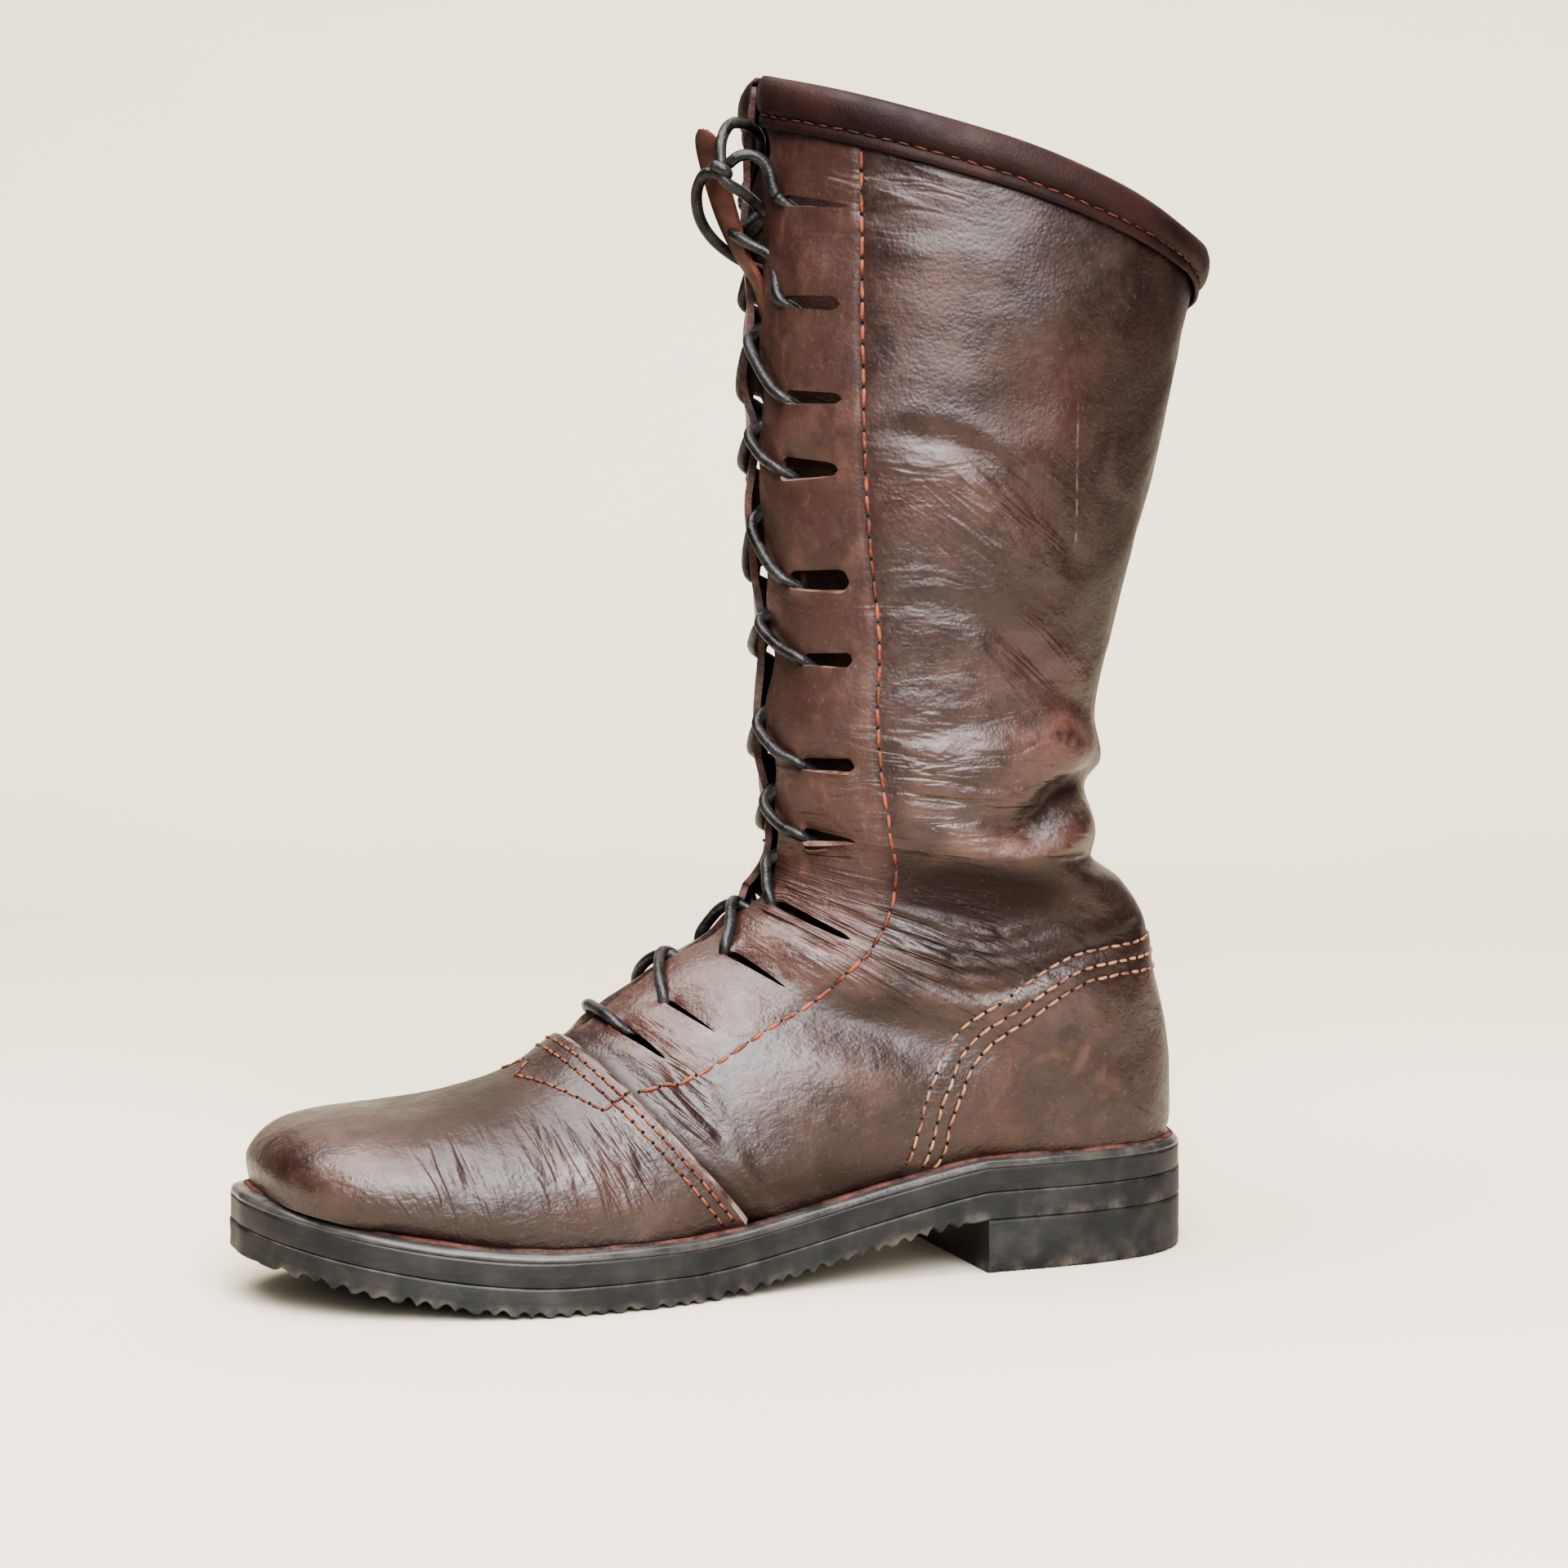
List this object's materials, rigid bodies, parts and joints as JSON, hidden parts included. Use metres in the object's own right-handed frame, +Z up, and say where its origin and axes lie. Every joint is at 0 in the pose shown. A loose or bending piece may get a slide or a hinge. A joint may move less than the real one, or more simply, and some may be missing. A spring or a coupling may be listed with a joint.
{
  "type": "lace-up boot",
  "caption": "Tall medieval-style leather boot, laced up the front through slit facings, with a slanting bound collar, a counter at the heel and a black sole with a low heel.",
  "frame": {"origin": "middle of the boot's box at floor level", "axes": "+Z up along the shaft, -X towards the toe, -Y towards the outer side of this left boot"},
  "size_m": [0.3029, 0.1208, 0.3607],
  "materials": {
    "upper_leather": "worn, waxed dark red-brown leather with creases",
    "tongue_leather": "matt brown leather",
    "binding_leather": "smooth dark brown leather, slightly glossy",
    "insole_leather": "plain undyed leather",
    "welt_leather": "brown leather with black dressed edge",
    "midsole_rubber": "black, smooth edge",
    "outsole_rubber": "black rubber with a rough lower edge",
    "heel_rubber": "black rubber",
    "lace_leather": "round black leather lace, waxed"
  },
  "bodies": {
    "root": {"upper": "upper_leather", "tongue": "tongue_leather", "collar_binding": "binding_leather", "insole": "insole_leather", "welt": "welt_leather", "midsole": "midsole_rubber", "outsole": "outsole_rubber", "heel": "heel_rubber", "lace_bar": "lace_leather", "lace_cross_01": "lace_leather", "lace_cross_02": "lace_leather", "lace_cross_03": "lace_leather", "lace_cross_04": "lace_leather", "lace_cross_05": "lace_leather", "lace_cross_06": "lace_leather", "lace_cross_07": "lace_leather", "lace_cross_08": "lace_leather", "lace_cross_09": "lace_leather", "lace_cross_10": "lace_leather", "lace_knot": "lace_leather"}
  },
  "joints": []
}
